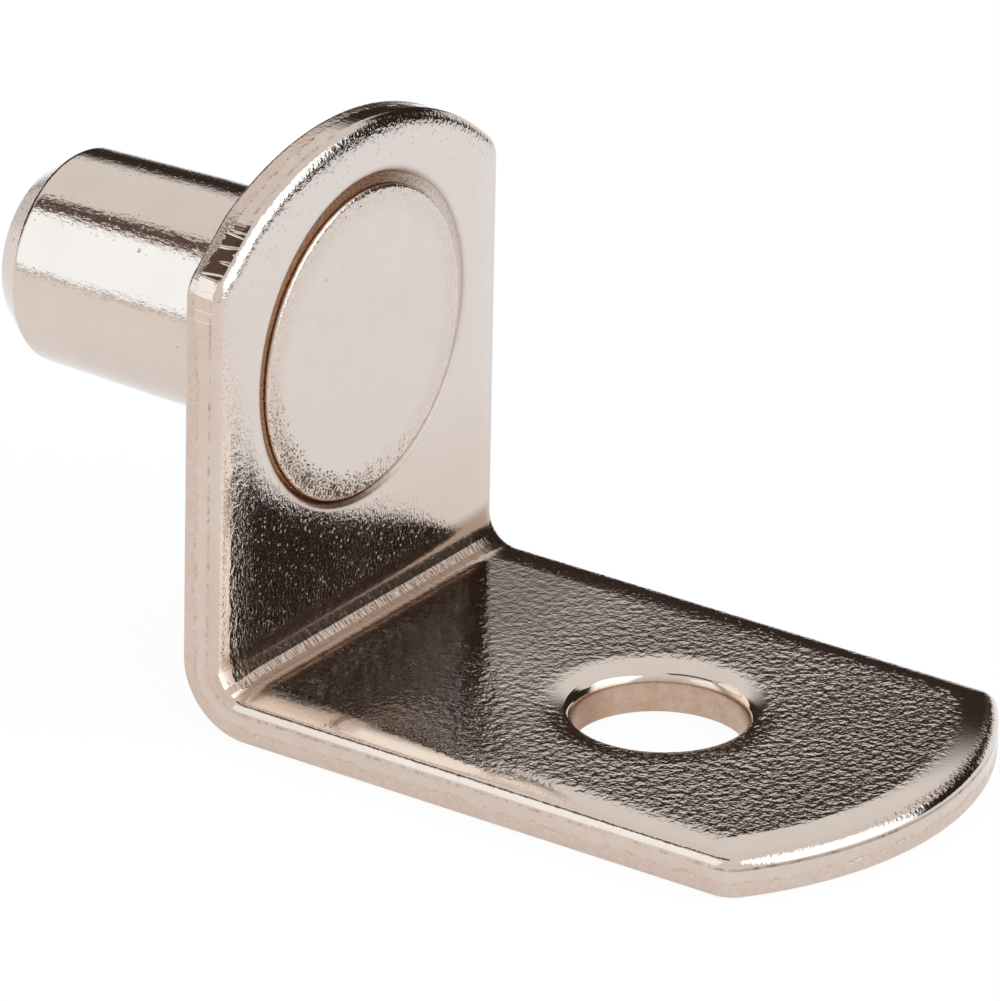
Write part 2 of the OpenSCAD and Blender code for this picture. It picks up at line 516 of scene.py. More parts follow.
straight = crown_centre + crown_corner - (tip_centre - tip_corner)
wall_top = LEG_TOP - edge_line[0][1]
blank = drop_pen("bracket_skin", (0, -TIP_REACH, wall_top))
draw_arc((0, tip_centre, wall_top), math.pi / 2 - tip_turn, BOW_STEPS)
draw_arc((corner_x, tip_centre - tip_corner, wall_top), tip_turn, CORNER_STEPS)
draw_line(y=straight)
draw_arc((corner_x, crown_centre + crown_corner, wall_top), crown_turn, CORNER_STEPS)
draw_arc((0, crown_centre, wall_top), math.pi / 2 - crown_turn, BOW_STEPS)
mode("OBJECT")
mirror = blank.modifiers.new("other half", "MIRROR")
mirror.merge_threshold = WELD
bpy.ops.object.modifier_apply(modifier=mirror.name)
mode("EDIT")
take_all()
bpy.ops.mesh.remove_doubles(threshold=WELD)
bpy.ops.mesh.edge_face_add()
face_out()
mode("OBJECT")
print("outline:", len(blank.data.vertices), "vertices, area", round(blank.data.polygons[0].area, 1))

# %% [markdown]
# ## Bracket: walls and rounded edges
#
# The outline is extruded down for the cut side of the sheet. Insets along the two profiles
# then close over it, above and below. A narrow guard strip beside each round keeps the
# smooth shading of the round from leaking into the flat beside it.
#
# The corner's own radius is smaller than the soft edge is wide. Where the insets reach the
# corner's centre its vertices meet, and there they are merged, or the next inset would
# throw a spike.

# %% Picking faces and edges
BIG_AREA = 100
LEVEL = 0.9


def pick_faces(piece, test):
    """Leaves edit mode on, with only the faces selected that pass the test."""
    mode("EDIT")
    bpy.ops.mesh.select_mode(type="FACE")
    bpy.ops.mesh.select_all(action="DESELECT")
    mode("OBJECT")
    for face in piece.data.polygons:
        face.select = bool(test(face))
    mode("EDIT")


def big_face(up):
    """A test for the blank's top (up is 1) or underside (up is -1)."""
    return lambda face: face.area > BIG_AREA and face.normal.z * up > LEVEL


def pick_open_edges():
    bpy.ops.mesh.select_mode(type="EDGE")
    bpy.ops.mesh.select_all(action="DESELECT")
    bpy.ops.mesh.select_non_manifold()


def inset_along(profile):
    for (x0, y0), (x1, y1) in zip(profile, profile[1:]):
        bpy.ops.mesh.inset(thickness=x1 - x0, depth=y0 - y1)


# %% Wall and lower edge
wall = SHEET_T - edge_line[0][1] - BURR_R
pick_faces(blank, lambda face: True)
for step in (GUARD, wall - 2 * GUARD, GUARD):
    draw_line(z=-step)
inset_along(burr_line)
bpy.ops.mesh.inset(thickness=GUARD, depth=0)
pick_open_edges()
bpy.ops.mesh.edge_face_add()
take_all()
face_out()
print("cut side", round(wall, 3), "mm high between its rounds")

# %% Upper edge
CORNER_CLOSED = CORNER_R - 0.004
CORNER_MERGE = 0.045
wide = wide_arc(ROLL_W, ROLL_SLOPE, EDGE_R)
closed_turn = math.asin((ROLL_W - CORNER_CLOSED) / wide)
closed = (CORNER_CLOSED, wide * (1 - math.cos(closed_turn)))
before = [point for point in edge_line if point[0] < CORNER_CLOSED] + [closed]
after = [closed] + [point for point in edge_line if point[0] > CORNER_CLOSED]
pick_faces(blank, big_face(1))
inset_along(before)
bpy.ops.mesh.remove_doubles(threshold=CORNER_MERGE)
pick_faces(blank, big_face(1))
inset_along(after)
bpy.ops.mesh.inset(thickness=GUARD, depth=edge_line[-1][1])
bpy.ops.mesh.inset(thickness=GUARD / 2, depth=0)
mode("OBJECT")
top_z = max(v.co.z for v in blank.data.vertices)
print("top face at", round(top_z, 4), "where the leg's top is", round(LEG_TOP, 4))

# %% [markdown]
# ## Bracket: screw hole and recess
#
# The screw hole is pierced by the same kind of punch, so its upper edge is drawn down too.
# The pin's head lies in a flat-bottomed recess whose mouth the riveting has rounded, and a
# smaller hole lets the pin's neck through. Each is a ring: its section is drawn with the pen
# and spun. A Boolean could cut them, but it would leave a ragged mesh at these soft edges.

# %% Hole and recess sizes
HOLE_D = 4.5
HOLE_REACH = 10.7
HOLE_ROLL_W = 1.1
HOLE_EDGE_R = 0.34
HOLE_BURR_R = 0.1
HEAD_D = 8.5
HEAD_T = 0.78
HEAD_PROUD = 0.06
HEAD_DROP = 0.12
HEAD_GAP = 0.04
MOUTH_R = 0.22
NECK_D = 4.6
NECK_GAP = 0.03
RECESS_R = HEAD_D / 2 + HEAD_DROP + HEAD_GAP
RECESS_FLOOR = LEG_TOP - (HEAD_T - HEAD_PROUD)
print("recess", round(2 * RECESS_R, 2), "mm across,", round(LEG_TOP - RECESS_FLOOR, 2), "mm deep")

# %% Rings
HOLE_STEPS = 96
RECESS_STEPS = 144


def turned(name, centre, section, steps):
    """A ring: the chain of (radius, height) points spun round an upright axis."""
    x, z = section[0]
    ring = drop_pen(name, (centre[0] + x, centre[1], z))
    for next_x, next_z in section[1:]:
        draw_line(x=next_x - x, z=next_z - z)
        x, z = next_x, next_z
    take_all()
    draw_arc((centre[0], centre[1], 0), 2 * math.pi, steps)
    take_all()
    bpy.ops.mesh.remove_doubles(threshold=WELD)
    mode("OBJECT")
    print(name, "has", len(ring.data.polygons), "faces")
    return ring


hole_r = HOLE_D / 2
hole_line = roll_profile(HOLE_ROLL_W, ROLL_SLOPE, HOLE_EDGE_R, steps=9, end=HOLE_ROLL_W)
hole_top = [(hole_r + a, LEG_TOP - b) for a, b in reversed(hole_line)]
hole_foot = [(hole_r + a, -AXIS_H + b) for a, b in round_profile(HOLE_BURR_R, steps=4)]
hole_section = [(hole_top[0][0] + GUARD, LEG_TOP)] + hole_top
hole_section += [(hole_r, hole_top[-1][1] - GUARD), (hole_r, hole_foot[0][1] + GUARD)]
hole_section += hole_foot + [(hole_foot[-1][0] + GUARD, -AXIS_H)]
hole_ring = turned("hole_ring", (0, -HOLE_REACH), hole_section, HOLE_STEPS)

mouth = [(RECESS_R + a, LEG_TOP - b) for a, b in reversed(round_profile(MOUTH_R, steps=7))]
neck_hole_r = NECK_D / 2 + NECK_GAP
recess_section = mouth + [(RECESS_R, mouth[-1][1] - GUARD), (RECESS_R, RECESS_FLOOR)]
recess_section += [(neck_hole_r, RECESS_FLOOR), (neck_hole_r, -AXIS_H)]
recess_ring = turned("recess_ring", (0, AXIS_Y), recess_section, RECESS_STEPS)

# %% [markdown]
# ## Bracket: closing the flats
#
# The rings are joined to the blank. The big flat faces are taken away, which leaves loops of
# open edges: the outline, the screw hole and the recess. Fill lays a sheet between all the
# loops at one height, and leaves the holes open.

# %% Join and fill


def select_only(*pieces):
    """Selects these pieces and nothing else. The last one is the active one."""
    bpy.ops.object.select_all(action="DESELECT")
    for piece in pieces:
        piece.select_set(True)
    bpy.context.view_layer.objects.active = pieces[-1]


def fill_level(piece, height, up):
    """Swaps the big face at a height for a sheet that leaves the holes open."""
    pick_faces(piece, big_face(up))
    bpy.ops.mesh.delete(type="ONLY_FACE")
    pick_open_edges()
    mode("OBJECT")
    mesh = piece.data
    level = [abs(v.co.z - height) < WELD for v in mesh.vertices]
    open_edges = [e for e in mesh.edges if e.select and all(level[i] for i in e.vertices)]
    for item in list(mesh.edges) + list(mesh.vertices):
        item.select = False
    for edge in open_edges:
        edge.select = True
        for i in edge.vertices:
            mesh.vertices[i].select = True
    mode("EDIT")
    bpy.ops.mesh.fill(use_beauty=True)
    print("filled between", len(open_edges), "open edges at", round(height, 3))


select_only(hole_ring, recess_ring, blank)
bpy.ops.object.join()
fill_level(blank, LEG_TOP, 1)
fill_level(blank, -AXIS_H, -1)
take_all()
bpy.ops.mesh.remove_doubles(threshold=WELD)
face_out()

# %% [markdown]
# ## Bracket: the shear's flat
#
# The crown is not quite a clean bow. At its left end the shear that parts one blank from the
# next has left it flatter, by 0.14 mm at most. The outline could have been drawn so, but
# the flat runs out so gently that it is easier to press it into the finished blank: the
# vertices there move in towards the crown's centre, up to the flat's own line. Before that,
# each vertex notes its place on the clean blank, for the finish to find it by.

# %% Flat
FLAT_FROM = math.radians(30)
FLAT_FACING = math.radians(40)
FLAT_REACH = 1.4
mode("OBJECT")
moved = 0
sheet_note = blank.data.attributes.new("sheet", "FLOAT_VECTOR", "POINT")
for vertex in blank.data.vertices:
    sheet_note.data[vertex.index].vector = vertex.co - Vector((0, 0, LEG_TOP))
    x, y = vertex.co.x, vertex.co.y - crown_centre
    away = math.hypot(x, y)
    turn = math.atan2(-x, y)
    line = crown_r * math.cos(FLAT_FACING - FLAT_FROM) / math.cos(FLAT_FACING - turn)
    in_reach = away - crown_r + FLAT_REACH
    if abs(turn - FLAT_FACING) < FLAT_FACING - FLAT_FROM and in_reach > 0:
        share = min(1, in_reach / (FLAT_REACH / 2))
        pressed = 1 - share * (1 - line / crown_r)
        vertex.co.x, vertex.co.y = x * pressed, y * pressed + crown_centre
        moved += 1
print("flat: moved", moved, "vertices")

# %% [markdown]
# ## Bracket: the bend
#
# Sheet metal bends wherever the tool presses it. A mesh bends only where it has been cut
# across into narrow strips, so Bisect cuts the blank at even steps along the bend's inner
# arc. A Simple Deform modifier could then bend it, but its limits are set as shares of the
# whole mesh. A loop that wraps each vertex round the bend's axis keeps the bend in its place.

# %% Cuts across the bend
BEND_CUTS = 24
mode("EDIT")
cuts = [BEND_LEN * i / BEND_CUTS for i in range(BEND_CUTS + 1)] + [-GUARD, BEND_LEN + GUARD]
for past in cuts:
    take_all()
    bpy.ops.mesh.bisect(plane_co=(0, BEND_Y + past, 0), plane_no=(0, 1, 0), threshold=WELD)
mode("OBJECT")
print("cut across at", len(cuts), "places:", len(blank.data.polygons), "faces")

# %% Bend
SMOOTH_UP_TO = math.radians(35)
for vertex in blank.data.vertices:
    past = vertex.co.y - BEND_Y
    if past > 0:
        r = BEND_R - (vertex.co.z - LEG_TOP)
        turn = min(past, BEND_LEN) / BEND_R
        vertex.co.y = BEND_Y + r * math.sin(turn)
        vertex.co.z = BEND_Z - r * math.cos(turn) + max(past - BEND_LEN, 0)


def finish_metal(piece, node):
    """From millimetres to metres, smooth rounds, and in the place of its CAD node."""
    for vertex in piece.data.vertices:
        vertex.co *= MM
    select_only(piece)
    bpy.ops.object.shade_smooth_by_angle(angle=SMOOTH_UP_TO)
    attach(piece, "root")
    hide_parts(node)
    print(piece.name, "has", len(piece.data.polygons), "faces")


finish_metal(blank, "bracket")

# %% [markdown]
# ## Pin: sizes and section
#
# The real pin is a screw machine part. Its shank is parallel near the bracket, then draws in
# a little, and ends in a steep chamfer with soft corners, so that it finds its hole. At the
# other end a shoulder stands against the bracket's back, a thin neck goes through, and the
# head is riveted flat into the recess. The head sits a touch low in it, because the blow of
# the riveting punch is never quite square.
#
# A turned part is a section and a spin. The corners of the section are rounded by a small
# helper, because a Bevel modifier would not give each corner its own exact radius. Below its
# face the head is squeezed out against the wall of its recess, which closes the joint a
# quarter of a millimetre down. On the right, where the blow was hardest, it is nearly flush.

# %% Pin sizes
PIN_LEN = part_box("pin")[1].y / MM
PIN_D = 6.0
PIN_PARALLEL = 4.0
PIN_DRAFT = 0.2
CHAMFER_LEN = 0.95
CHAMFER_DEPTH = 0.72
CHAMFER_BLEND_R = 0.3
HEAD_RIM_W = 0.7
HEAD_RIM_SLOPE = math.radians(7)
HEAD_EDGE_R = 0.12
HEAD_RIM_LEFT = 0.03
END_SHARE = 0.8
PIN_STEPS = 192
print("pin", PIN_D, "mm thick and", round(PIN_LEN, 2), "mm long")

# %% Shank


def round_corner(before, corner, after, r, steps):
    """Points round a corner of a section, with a guard point on the straight each side."""
    at = Vector(corner)
    a = (Vector(before) - at).normalized()
    b = (Vector(after) - at).normalized()
    half = a.angle(b) / 2
    reach = r / math.tan(half)
    centre = at + (a + b).normalized() * (r / math.sin(half))
    start = at + a * reach - centre
    sweep = (at + b * reach - centre).angle_signed(start)
    arc = [centre + Matrix.Rotation(sweep * i / steps, 2) @ start for i in range(steps + 1)]
    return [tuple(p) for p in [at + a * (reach + GUARD)] + arc + [at + b * (reach + GUARD)]]


tip_corner_at = (PIN_D / 2 - PIN_DRAFT / 2, PIN_LEN - CHAMFER_LEN)
end_corner_at = (tip_corner_at[0] - CHAMFER_DEPTH, PIN_LEN)
shank_section = [(0, PIN_LEN), (end_corner_at[0] * END_SHARE, PIN_LEN)]
shank_section += round_corner((0, PIN_LEN), end_corner_at, tip_corner_at, CHAMFER_BLEND_R, steps=10)
parallel_end = (PIN_D / 2, PIN_PARALLEL)
shank_section += round_corner(end_corner_at, tip_corner_at, parallel_end, CHAMFER_BLEND_R, steps=8)
shank_section += [parallel_end, (PIN_D / 2, GUARD), (PIN_D / 2, 0)]
web = SHEET_T - (HEAD_T - HEAD_PROUD)
shank_section += [(NECK_D / 2, 0), (NECK_D / 2, -web)]
shank = turned("pin_skin", (0, 0), shank_section, PIN_STEPS)

# %% Head
SQUEEZE_DEPTH = 0.24
SQUEEZE_FROM = 1.2
SQUEEZE_OVER = 2
CLOSED_RISE = 0.55
WALL_GAP = 0.01
rim = roll_profile(HEAD_RIM_W, HEAD_RIM_SLOPE, HEAD_EDGE_R, steps=9, end=HEAD_RIM_W - HEAD_RIM_LEFT)
head_r = HEAD_D / 2
flat_r = head_r - HEAD_RIM_W
head_face = -web - HEAD_T
head_section = [(head_r, -web), (head_r, head_face + SQUEEZE_DEPTH), (head_r, head_face + rim[0][1] + GUARD)]
head_section += [(head_r - a, head_face + b) for a, b in rim]
head_section += [(flat_r, head_face), (flat_r - 2 * GUARD, head_face), (0, head_face)]
head = turned("head_ring", (0, HEAD_DROP), head_section, PIN_STEPS)
for vertex in head.data.vertices:
    depth = vertex.co.z - head_face
    on_side = depth > SQUEEZE_DEPTH - WELD
    out = RECESS_R - WALL_GAP
    if depth < SQUEEZE_DEPTH + WELD:
        closed = min(max((vertex.co.x - SQUEEZE_FROM) / SQUEEZE_OVER, 0), 1)
        depth *= 1 - CLOSED_RISE * closed * closed * (3 - 2 * closed)
        vertex.co.z = head_face + depth
        lean = math.acos(1 - max(depth - HEAD_PROUD, 0) / MOUTH_R)
        out += MOUTH_R * (1 - math.sin(lean))
    if on_side:
        vertex.co.x, vertex.co.y = vertex.co.xy.normalized() * out

# %% [markdown]
# The shank's neck and the head each end in an open ring of edges. Bridge lays the head's
# underside between them, although the head's ring is a little off centre. Then the pin is
# laid along its own axis.

# %% Join and lay down
select_only(head, shank)
bpy.ops.object.join()
mode("EDIT")
pick_open_edges()
bpy.ops.mesh.bridge_edge_loops()
take_all()
bpy.ops.transform.rotate(value=math.pi / 2, orient_axis="X", center_override=(0, 0, 0))
face_out()
mode("OBJECT")
print("pin lies from y", [round(f(v.co.y for v in shank.data.vertices), 3) for f in (min, max)])
finish_metal(shank, "pin")

# %% [markdown]
# ## Finish: what the plating shows
#
# The real parts are tumbled and then plated with bright nickel, which covers the steel as
# thinly as a coat of varnish. It hides nothing. The sheet's own orange-peel grain shows in
# the faces. Where the die drew the edges down the grain is ironed smooth. The cut sides keep
# the marks of the punch, and the bend keeps the marks of the tool that pressed it.
#
# All this could be painted as an image. Here it is made from heights: each effect is a small
# hill or dip in millimetres, all are added up, and one Bump node turns the sum into normals.
# Only in the deep places does the colour change. In some of them the plating is thin. In the
# inner bend, at one end of the screw hole and in the gap round the pin's head, the brown is
# painted shade. In ease and band the numbers say where a zone starts and ends: a distance in
# millimetres, an angle in radians, a level of the noise or, for a pit, a share of its radius.

# %% Group helpers


def new_group(name, inputs, outputs):
    """A shader node group. Returns its tree, the inputs' outputs and the outputs' inputs."""
    tree = bpy.data.node_groups.new(name, "ShaderNodeTree")
    for label, value in inputs.items():
        kind = "NodeSocketVector" if isinstance(value, tuple) else "NodeSocketFloat"
        socket = tree.interface.new_socket(label, in_out="INPUT", socket_type=kind)
        socket.default_value = value
    for label in outputs:
        tree.interface.new_socket(label, in_out="OUTPUT", socket_type="NodeSocketFloat")
    start = tree.nodes.new("NodeGroupInput")
    end = tree.nodes.new("NodeGroupOutput")
    return tree, start.outputs, end.inputs


def place_group(group, inputs):
    """A copy of a group beside what feeds it, with its own values. Returns its outputs."""
    return follow("Group", inputs, node_tree=group)


def times(*values):
    """All the values multiplied."""
    product = values[0]
    for value in values[1:]:
        product = calculate("MULTIPLY", product, value)
    return product


def plus(*values):
    """All the values added."""
    total = values[0]
    for value in values[1:]:
        total = calculate("ADD", total, value)
    return total


def minus(value, taken):
    return calculate("SUBTRACT", value, taken)


def larger(value, other):
    return calculate("MAXIMUM", value, other)


def smaller(value, other):
    return calculate("MINIMUM", value, other)


def opposite(value):
    """1 becomes 0 and 0 becomes 1."""
    return minus(1, value)


def band(value, start, end, soft):
    """1 between start and end, with soft ends that lie inside."""
    return times(ease(value, start, start + soft), ease(value, end, end - soft))


def scaled(vector, size):
    """A vector with each axis multiplied by its own number."""
    return follow("VectorMath", {0: vector, 1: size}, operation="MULTIPLY")[0]


def noise(vector, per_mm, detail=2, roughness=0.5):
    """Noise around zero, with so many bumps a millimetre."""
    settings = {"Vector": vector, "Scale": per_mm, "Detail": detail, "Roughness": roughness}
    return minus(follow("TexNoise", settings)[0], 0.5)


# %% [markdown]
# ## Finish: orange peel
#
# Cold-rolled sheet that has been pressed and tumbled has a skin like an orange, of soft
# bumps about a quarter of a millimetre across and a few thousandths high. Plain noise gives
# the bumps. A second, finer noise breaks their edges. With smaller bumps the same group
# makes the rounds lumpy where they have been beaten, and the pin's fine skin.

# %% Orange peel
FINER = 2.3
FINER_SHARE = 0.45
values = {"Place": (0, 0, 0), "Bump Size": 0.24, "Height": 0.01}
orange_peel, given, out = new_group("orange_peel", values, ["Height"])
per_mm = calculate("DIVIDE", 1, given["Bump Size"])
coarse = noise(given["Place"], per_mm, detail=1, roughness=0.4)
finer = noise(given["Place"], times(per_mm, FINER), detail=1, roughness=0.6)
soft = plus(coarse, times(finer, FINER_SHARE))
feed(times(soft, given["Height"]), out["Height"])


def peel_on(place, size, height):
    """The height of a skin with bumps of one size."""
    return place_group(orange_peel, {"Place": place, "Bump Size": size, "Height": height})["Height"]


print("orange peel group has", len(orange_peel.nodes), "nodes")

# %% [markdown]
# ## Finish: pits
#
# Here and there the plating has closed over a small pit. A Voronoi texture scatters points,
# a random number of each cell keeps only a few of them, and each that is kept becomes a dip
# with a slightly raised lip.

# %% Pits
LIP_SHARE = 0.35
values = {"Place": (0, 0, 0), "Spacing": 0.3, "Radius": 0.06, "Share": 0.2, "Depth": 0.01}
pits, given, out = new_group("pits", values, ["Height", "Mask"])
per_mm = calculate("DIVIDE", 1, given["Spacing"])
cells = follow("TexVoronoi", {"Vector": given["Place"], "Scale": per_mm})
chance = split(cells["Color"])["X"]
kept = calculate("LESS_THAN", chance, given["Share"])
away = times(cells["Distance"], given["Spacing"])
rim = calculate("DIVIDE", away, given["Radius"])
dip = ease(rim, 1.0, 0.35)
lip = times(ease(rim, 1.7, 1.15), ease(rim, 0.9, 1.15))
shape = minus(times(lip, LIP_SHARE), dip)
feed(times(shape, kept, given["Depth"]), out["Height"])
feed(times(dip, kept), out["Mask"])


def pits_on(place, spacing, radius, share, depth):
    """Scattered pits: their Height and their Mask."""
    values = {"Place": place, "Spacing": spacing, "Radius": radius, "Share": share, "Depth": depth}
    return place_group(pits, values)


print("pits group has", len(pits.nodes), "nodes")

# %% [markdown]
# ## Finish: drawn lines
#
# A surface that has slid along a tool keeps fine lines in the direction of the slide: up the
# upright, across the bend, down the cut sides and along the pin. The same noise makes them
# all. Its place is squeezed along one axis, which stretches the bumps into lines.

# %% Drawn lines
values = {"Place": (0, 0, 0), "Squeeze": (1, 1, 1), "Line Size": 0.1, "Height": 0.004}
drawn_lines, given, out = new_group("drawn_lines", values, ["Height"])
per_mm = calculate("DIVIDE", 1, given["Line Size"])
squeezed = scaled(given["Place"], given["Squeeze"])
lines = noise(squeezed, per_mm, roughness=0.65)
feed(times(lines, given["Height"]), out["Height"])


def lines_on(place, squeeze, size, height):
    """The height of lines that a tool has drawn."""
    values = {"Place": place, "Squeeze": squeeze, "Line Size": size, "Height": height}
    return place_group(drawn_lines, values)["Height"]


print("drawn lines group has", len(drawn_lines.nodes), "nodes")

# %% [markdown]
# ## Finish: places on the sheet
#
# The bracket's marks belong to places on the flat blank: so far from the cut side, so deep
# in the thickness, so far from a hole. Each vertex noted its place before it was pressed and
# bent. From that note this group works out the distances, all in millimetres.

# %% Places on the sheet
labels = ["From Left", "From Right", "From Tip", "From Side"]
labels += ["Depth", "From Hole", "From Recess", "Past Bend"]
sheet_places, given, out = new_group("sheet_places", {"Sheet": (0, 0, 0)}, labels)
axes = split(given["Sheet"])
level = scaled(given["Sheet"], (1, 1, 0))
from_left = plus(axes["X"], STRIP_W / 2)
from_right = minus(STRIP_W / 2, axes["X"])


def from_bow(centre, r, side):
    """Distance in from a bowed end. Only what lies beyond the bow's centre counts."""
    beyond = larger(times(minus(axes["Y"], centre), side), 0)
    spot = follow("CombineXYZ", {0: axes["X"], 1: beyond})[0]
    return minus(r, distance_from(spot, (0, 0, 0)))


from_tip = from_bow(tip_centre, tip_r, -1)
from_crown = from_bow(crown_centre, crown_r, 1)
nearest = smaller(smaller(smaller(from_left, from_right), from_tip), from_crown)
from_hole = minus(distance_from(level, (0, -HOLE_REACH, 0)), hole_r)
from_recess = minus(distance_from(level, (0, AXIS_Y, 0)), RECESS_R)
depth = times(axes["Z"], -1)
past_bend = minus(axes["Y"], BEND_Y)
found = (from_left, from_right, from_tip, nearest, depth, from_hole, from_recess, past_bend)
for label, value in zip(labels, found):
    feed(value, out[label])
print("sheet places group has", len(sheet_places.nodes), "nodes")

# %% [markdown]
# ## Finish: plating colour
#
# Nickel is a slightly yellow grey. The layer is never quite even: it has faint clouds a
# millimetre wide and a fine mottle. Both change its colour by a few parts in a hundred, and
# the mottle its polish too. Thin plating in deep places lets the brown of the steel through.
# Browns are also painted as shade in the inner bend, at one end of the screw hole and in the
# gap round the pin's head.

# %% Plating
NICKEL_WARM = (0.70, 0.60, 0.53, 1)
NICKEL_COOL = (0.71, 0.635, 0.575, 1)
# The brown of thin plating. Near the bend the same brown is laid on as painted shade.
THIN_PLATE_AND_SHADE = (0.56, 0.40, 0.30, 1)
# The bend's brown and the deep brown are painted shade: in the inner bend, at one end of the screw hole and
# in the gap round the pin's head.
BEND_SHADE_BROWN = (0.34, 0.21, 0.14, 1)
HOLE_BROWN = (0.52, 0.345, 0.24, 1)
DEEP_SHADE_BROWN = (0.30, 0.155, 0.085, 1)
PIT_BROWN = (0.20, 0.14, 0.11, 1)
POLISH = 0.055
MOTTLED = 0.04
plating, given, out = new_group("plating", {"Place": (0, 0, 0)}, ["Cloud", "Mottle"])
cloud = ease(noise(given["Place"], 0.8, detail=3, roughness=0.6), -0.25, 0.25)
mottle = ease(noise(given["Place"], 7, roughness=0.6), -0.25, 0.25)
feed(cloud, out["Cloud"])
feed(mottle, out["Mottle"])


def new_metal(name):
    """A plain metal to build on. Returns the material, its tree and its shader's inputs."""
    material, tree = new_material(name)
    metal = tree.nodes["Principled BSDF"].inputs
    metal["Metallic"].default_value = 1
    return material, tree, metal


def finish_normal(metal, height):
    """Turns a height in millimetres into the metal's normal."""
    feed(follow("Bump", {"Strength": 1, "Distance": MM, "Height": height})[0], metal["Normal"])


def finish_colour(metal, coat, layers):
    """Even nickel, and over it each layer: a share and the colour it brings."""
    even = times(plus(coat["Cloud"], coat["Mottle"]), 0.5)
    colour = mix_colour(even, NICKEL_WARM, NICKEL_COOL)
    for share, tint in layers:
        colour = mix_colour(share, colour, tint)
    feed(colour, metal["Base Color"])


def finish_polish(metal, coat, *dull_places):
    feed(plus(POLISH, times(coat["Mottle"], MOTTLED), *dull_places), metal["Roughness"])


print("plating group has", len(plating.nodes), "nodes")

# %% [markdown]
# ## Finish: the bracket
#
# The bracket's material adds up its heights. On the leg the orange peel covers the face. It
# fades in the drawn-down margins, sooner on the near side than on the far one. The upright
# keeps fine short lines instead. The leg is not quite flat either: towards its tip it leans
# up by a few degrees. That is in the normals only, so it changes what the leg reflects and
# not its outline.

# %% Bracket: faces
AWAY_X, AWAY_Y = 0.82, 0.57
bracket_metal, tree, metal = new_metal("bracket_nickel")
sheet = add_node(tree, "Attribute", attribute_name="sheet").outputs["Vector"]
axes = split(sheet)
at = place_group(sheet_places, {"Sheet": sheet})
past_bend = at["Past Bend"]
on_upright = ease(past_bend, BEND_LEN - 0.1, BEND_LEN + 0.3)
from_hole_y = plus(axes["Y"], HOLE_REACH)
behind_hole = ease(plus(times(axes["X"], AWAY_X), times(from_hole_y, AWAY_Y)), -0.6, 0.6)
hole_clear = ease(at["From Hole"], times(behind_hole, 0.4), blend_values(behind_hole, 0.15, 1.0))
far_end = ease(past_bend, -6, -11)
far_from = plus(0.2, times(far_end, 0.25))
far_to = plus(0.6, times(far_end, 0.4))
leg_face = times(ease(at["From Left"], 0.6, 1.2), ease(at["From Right"], far_from, far_to))
leg_face = times(leg_face, ease(at["From Tip"], 0.7, 1.4), hole_clear)
upright_face = times(ease(at["From Side"], 0.2, 0.6), ease(at["From Recess"], 0.1, 0.5))
print("faces found with", len(tree.nodes), "nodes")

# %% Bracket: skin
CORNER_GRAIN = 0.34
LEG_GRAIN = 0.75
TIP_GRAIN = 1.1
SKIN_HEIGHT = 0.0008
grain = peel_on(sheet, size=0.225, height=0.018)
from_corner = blend_values(ease(past_bend, -2, -5.5), CORNER_GRAIN, LEG_GRAIN)
towards_tip = times(ease(past_bend, -5, -12), TIP_GRAIN)
leg_grain = times(grain, leg_face, plus(from_corner, towards_tip))
fine = lines_on(sheet, (1, 0.4, 1), size=0.08, height=0.009)
peel = blend_values(on_upright, leg_grain, times(fine, upright_face))
skin = times(noise(sheet, 17, detail=1), SKIN_HEIGHT)
speck = pits_on(sheet, spacing=0.1, radius=0.028, share=0.2, depth=0.0032)["Height"]
skin = plus(peel, skin, times(speck, blend_values(on_upright, times(leg_face, 0.5), upright_face)))
print("skin:", len(tree.nodes), "nodes so far")

# %% Bracket: lean
LEAN_FROM = -4.5
LEAN_RATE = 0.0042
LEVEL_TIP = 1.1
WOBBLE_HEIGHT = 0.02
rise = times(minus(past_bend, LEAN_FROM), -1)
rise = larger(minus(rise, larger(minus(LEVEL_TIP, at["From Tip"]), 0)), 0)
rise = times(rise, rise, LEAN_RATE)
wobble = times(noise(sheet, 0.25, detail=0), WOBBLE_HEIGHT)
faces = plus(skin, rise, wobble)
print("lean:", len(tree.nodes), "nodes so far")

# %% [markdown]
# The cut side has two zones: a bright one that the punch has rubbed, with fine lines down
# it, and below a ragged furrow a torn one that is rougher. At the crown's flat the shear has
# chattered and left short ribs. The rounds above and below are a little lumpy. Beside the
# bend, on the left, the bending tool has ironed the soft edge out again to a ragged, narrow one.

# %% Bracket: cut sides
TORN_FROM = 0.76
FURROW_DEPTH = 0.012
RIB_HEIGHT = 0.008
near_side = ease(at["From Side"], 0.12, 0.02)
on_leg = opposite(on_upright)
turn = calculate("ARCTAN2", times(axes["X"], -1), minus(axes["Y"], crown_centre))
on_flat = times(band(turn, FLAT_FROM, 2 * FLAT_FACING - FLAT_FROM, 0.06), near_side, on_upright)
waver = noise(sheet, 1.1, roughness=0.6)
below = minus(at["Depth"], plus(TORN_FROM, times(waver, 0.4), times(on_flat, 0.14)))
tatters = noise(sheet, 3.6, roughness=0.8)
broken = ease(tatters, -0.05, 0.15)
furrow = times(near_side, band(below, -0.06, 0.09, 0.06), broken)
torn = times(near_side, ease(below, -0.02, 0.03))
rubbed = minus(near_side, torn)
cuts = times(lines_on(sheet, (1, 1, 0.06), size=0.2, height=0.01), rubbed, opposite(times(on_flat, 0.7)))
beaten = peel_on(sheet, size=0.12, height=0.017)
ribs = noise(scaled(sheet, (1, 1, 0.12)), 2.6, detail=1)
ribs = times(ease(calculate("ABSOLUTE", ribs), 0.035, 0), on_flat, rubbed)
margin = ease(at["From Side"], 0.5, 0.2)
smooth_edge = times(ease(at["From Left"], 0.6, 0.3), on_leg, 0.7)
